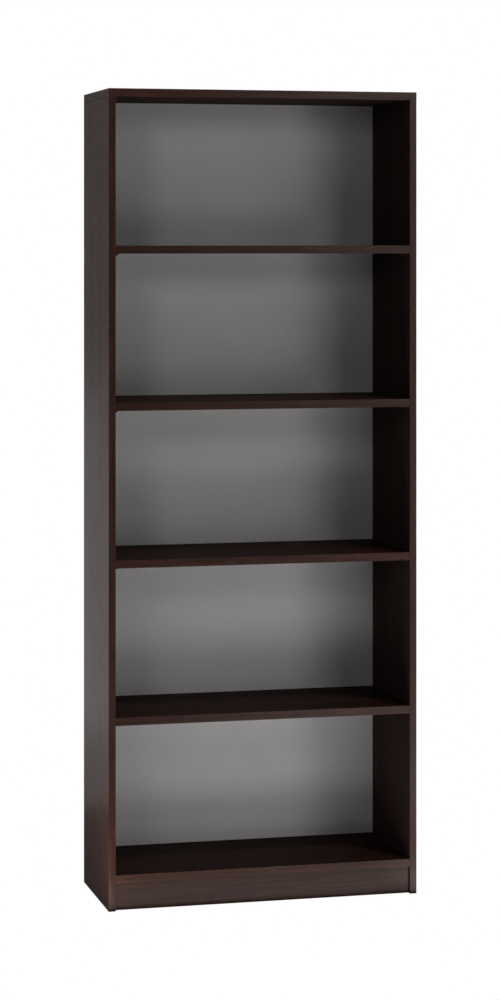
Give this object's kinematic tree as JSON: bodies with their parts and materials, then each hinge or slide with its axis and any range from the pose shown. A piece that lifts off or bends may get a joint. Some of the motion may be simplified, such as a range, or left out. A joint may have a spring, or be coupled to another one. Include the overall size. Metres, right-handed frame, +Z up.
{
  "type": "bookcase with adjustable shelves",
  "caption": "Tall open bookcase in dark wood-grain board, with a recessed plinth, a pale back panel and shelves that move up and down on pins in drilled sides.",
  "frame": {"origin": "on the floor, in the middle of the width and of the depth", "axes": "+X to the bookcase's right as seen from the front, +Y from the open front to the back panel, +Z up"},
  "size_m": [0.72, 0.3, 1.84],
  "materials": {
    "wenge_board": "melamine-faced chipboard, dark brown with a fine streaky grain, satin",
    "wenge_edging": "melamine edging strip to match the boards, satin",
    "hardboard": "hardboard, lacquered off-white on the front, bare brown at the rear",
    "pin_steel": "steel with a satin dark brown coat, to match the boards",
    "plated_steel": "zinc plated",
    "zinc": "die-cast zinc, dull",
    "beech": "turned beech, raw",
    "brown_plastic": "moulded, matt"
  },
  "bodies": {
    "carcass": {"left_side_panel": "wenge_board", "right_side_panel": "wenge_board", "top_panel": "wenge_board", "bottom_panel": "wenge_board", "plinth_board": "wenge_board", "back_panel": "hardboard", "left_side_edging": "wenge_edging", "right_side_edging": "wenge_edging", "top_front_edging": "wenge_edging", "top_left_edging": "wenge_edging", "top_right_edging": "wenge_edging", "bottom_panel_edging": "wenge_edging", "top_cam_bolts": "plated_steel", "top_cams": "zinc", "top_cam_covers": "brown_plastic", "bottom_cam_bolts": "plated_steel", "bottom_cams": "zinc", "top_dowels": "beech", "bottom_dowels": "beech", "plinth_dowels": "beech", "plinth_blocks": "brown_plastic", "plinth_block_screws": "plated_steel", "back_nails": "plated_steel"},
    "shelf_1": {"shelf_1_board": "wenge_board", "shelf_1_edging": "wenge_edging"},
    "shelf_2": {"shelf_2_board": "wenge_board", "shelf_2_edging": "wenge_edging"},
    "shelf_3": {"shelf_3_board": "wenge_board", "shelf_3_edging": "wenge_edging"},
    "shelf_4": {"shelf_4_board": "wenge_board", "shelf_4_edging": "wenge_edging"},
    "shelf_1_pin_front_left": {"shelf_1_pin_front_left": "pin_steel"},
    "shelf_1_pin_front_right": {"shelf_1_pin_front_right": "pin_steel"},
    "shelf_1_pin_back_left": {"shelf_1_pin_back_left": "pin_steel"},
    "shelf_1_pin_back_right": {"shelf_1_pin_back_right": "pin_steel"},
    "shelf_2_pin_front_left": {"shelf_2_pin_front_left": "pin_steel"},
    "shelf_2_pin_front_right": {"shelf_2_pin_front_right": "pin_steel"},
    "shelf_2_pin_back_left": {"shelf_2_pin_back_left": "pin_steel"},
    "shelf_2_pin_back_right": {"shelf_2_pin_back_right": "pin_steel"},
    "shelf_3_pin_front_left": {"shelf_3_pin_front_left": "pin_steel"},
    "shelf_3_pin_front_right": {"shelf_3_pin_front_right": "pin_steel"},
    "shelf_3_pin_back_left": {"shelf_3_pin_back_left": "pin_steel"},
    "shelf_3_pin_back_right": {"shelf_3_pin_back_right": "pin_steel"},
    "shelf_4_pin_front_left": {"shelf_4_pin_front_left": "pin_steel"},
    "shelf_4_pin_front_right": {"shelf_4_pin_front_right": "pin_steel"},
    "shelf_4_pin_back_left": {"shelf_4_pin_back_left": "pin_steel"},
    "shelf_4_pin_back_right": {"shelf_4_pin_back_right": "pin_steel"}
  },
  "joints": [
    {"name": "shelf_1_height", "type": "slide", "parent": "carcass", "child": "shelf_1", "axis": [0, 0, 1], "range_m": [-0.096, 0.096]},
    {"name": "shelf_2_height", "type": "slide", "parent": "carcass", "child": "shelf_2", "axis": [0, 0, 1], "range_m": [-0.096, 0.096]},
    {"name": "shelf_3_height", "type": "slide", "parent": "carcass", "child": "shelf_3", "axis": [0, 0, 1], "range_m": [-0.096, 0.096]},
    {"name": "shelf_4_height", "type": "slide", "parent": "carcass", "child": "shelf_4", "axis": [0, 0, 1], "range_m": [-0.096, 0.096]},
    {"name": "shelf_1_pin_pull_front_left", "type": "slide", "parent": "shelf_1", "child": "shelf_1_pin_front_left", "axis": [1, 0, 0], "range_m": [0, 0.011]},
    {"name": "shelf_1_pin_pull_front_right", "type": "slide", "parent": "shelf_1", "child": "shelf_1_pin_front_right", "axis": [-1, 0, 0], "range_m": [0, 0.011]},
    {"name": "shelf_1_pin_pull_back_left", "type": "slide", "parent": "shelf_1", "child": "shelf_1_pin_back_left", "axis": [1, 0, 0], "range_m": [0, 0.011]},
    {"name": "shelf_1_pin_pull_back_right", "type": "slide", "parent": "shelf_1", "child": "shelf_1_pin_back_right", "axis": [-1, 0, 0], "range_m": [0, 0.011]},
    {"name": "shelf_2_pin_pull_front_left", "type": "slide", "parent": "shelf_2", "child": "shelf_2_pin_front_left", "axis": [1, 0, 0], "range_m": [0, 0.011]},
    {"name": "shelf_2_pin_pull_front_right", "type": "slide", "parent": "shelf_2", "child": "shelf_2_pin_front_right", "axis": [-1, 0, 0], "range_m": [0, 0.011]},
    {"name": "shelf_2_pin_pull_back_left", "type": "slide", "parent": "shelf_2", "child": "shelf_2_pin_back_left", "axis": [1, 0, 0], "range_m": [0, 0.011]},
    {"name": "shelf_2_pin_pull_back_right", "type": "slide", "parent": "shelf_2", "child": "shelf_2_pin_back_right", "axis": [-1, 0, 0], "range_m": [0, 0.011]},
    {"name": "shelf_3_pin_pull_front_left", "type": "slide", "parent": "shelf_3", "child": "shelf_3_pin_front_left", "axis": [1, 0, 0], "range_m": [0, 0.011]},
    {"name": "shelf_3_pin_pull_front_right", "type": "slide", "parent": "shelf_3", "child": "shelf_3_pin_front_right", "axis": [-1, 0, 0], "range_m": [0, 0.011]},
    {"name": "shelf_3_pin_pull_back_left", "type": "slide", "parent": "shelf_3", "child": "shelf_3_pin_back_left", "axis": [1, 0, 0], "range_m": [0, 0.011]},
    {"name": "shelf_3_pin_pull_back_right", "type": "slide", "parent": "shelf_3", "child": "shelf_3_pin_back_right", "axis": [-1, 0, 0], "range_m": [0, 0.011]},
    {"name": "shelf_4_pin_pull_front_left", "type": "slide", "parent": "shelf_4", "child": "shelf_4_pin_front_left", "axis": [1, 0, 0], "range_m": [0, 0.011]},
    {"name": "shelf_4_pin_pull_front_right", "type": "slide", "parent": "shelf_4", "child": "shelf_4_pin_front_right", "axis": [-1, 0, 0], "range_m": [0, 0.011]},
    {"name": "shelf_4_pin_pull_back_left", "type": "slide", "parent": "shelf_4", "child": "shelf_4_pin_back_left", "axis": [1, 0, 0], "range_m": [0, 0.011]},
    {"name": "shelf_4_pin_pull_back_right", "type": "slide", "parent": "shelf_4", "child": "shelf_4_pin_back_right", "axis": [-1, 0, 0], "range_m": [0, 0.011]}
  ]
}
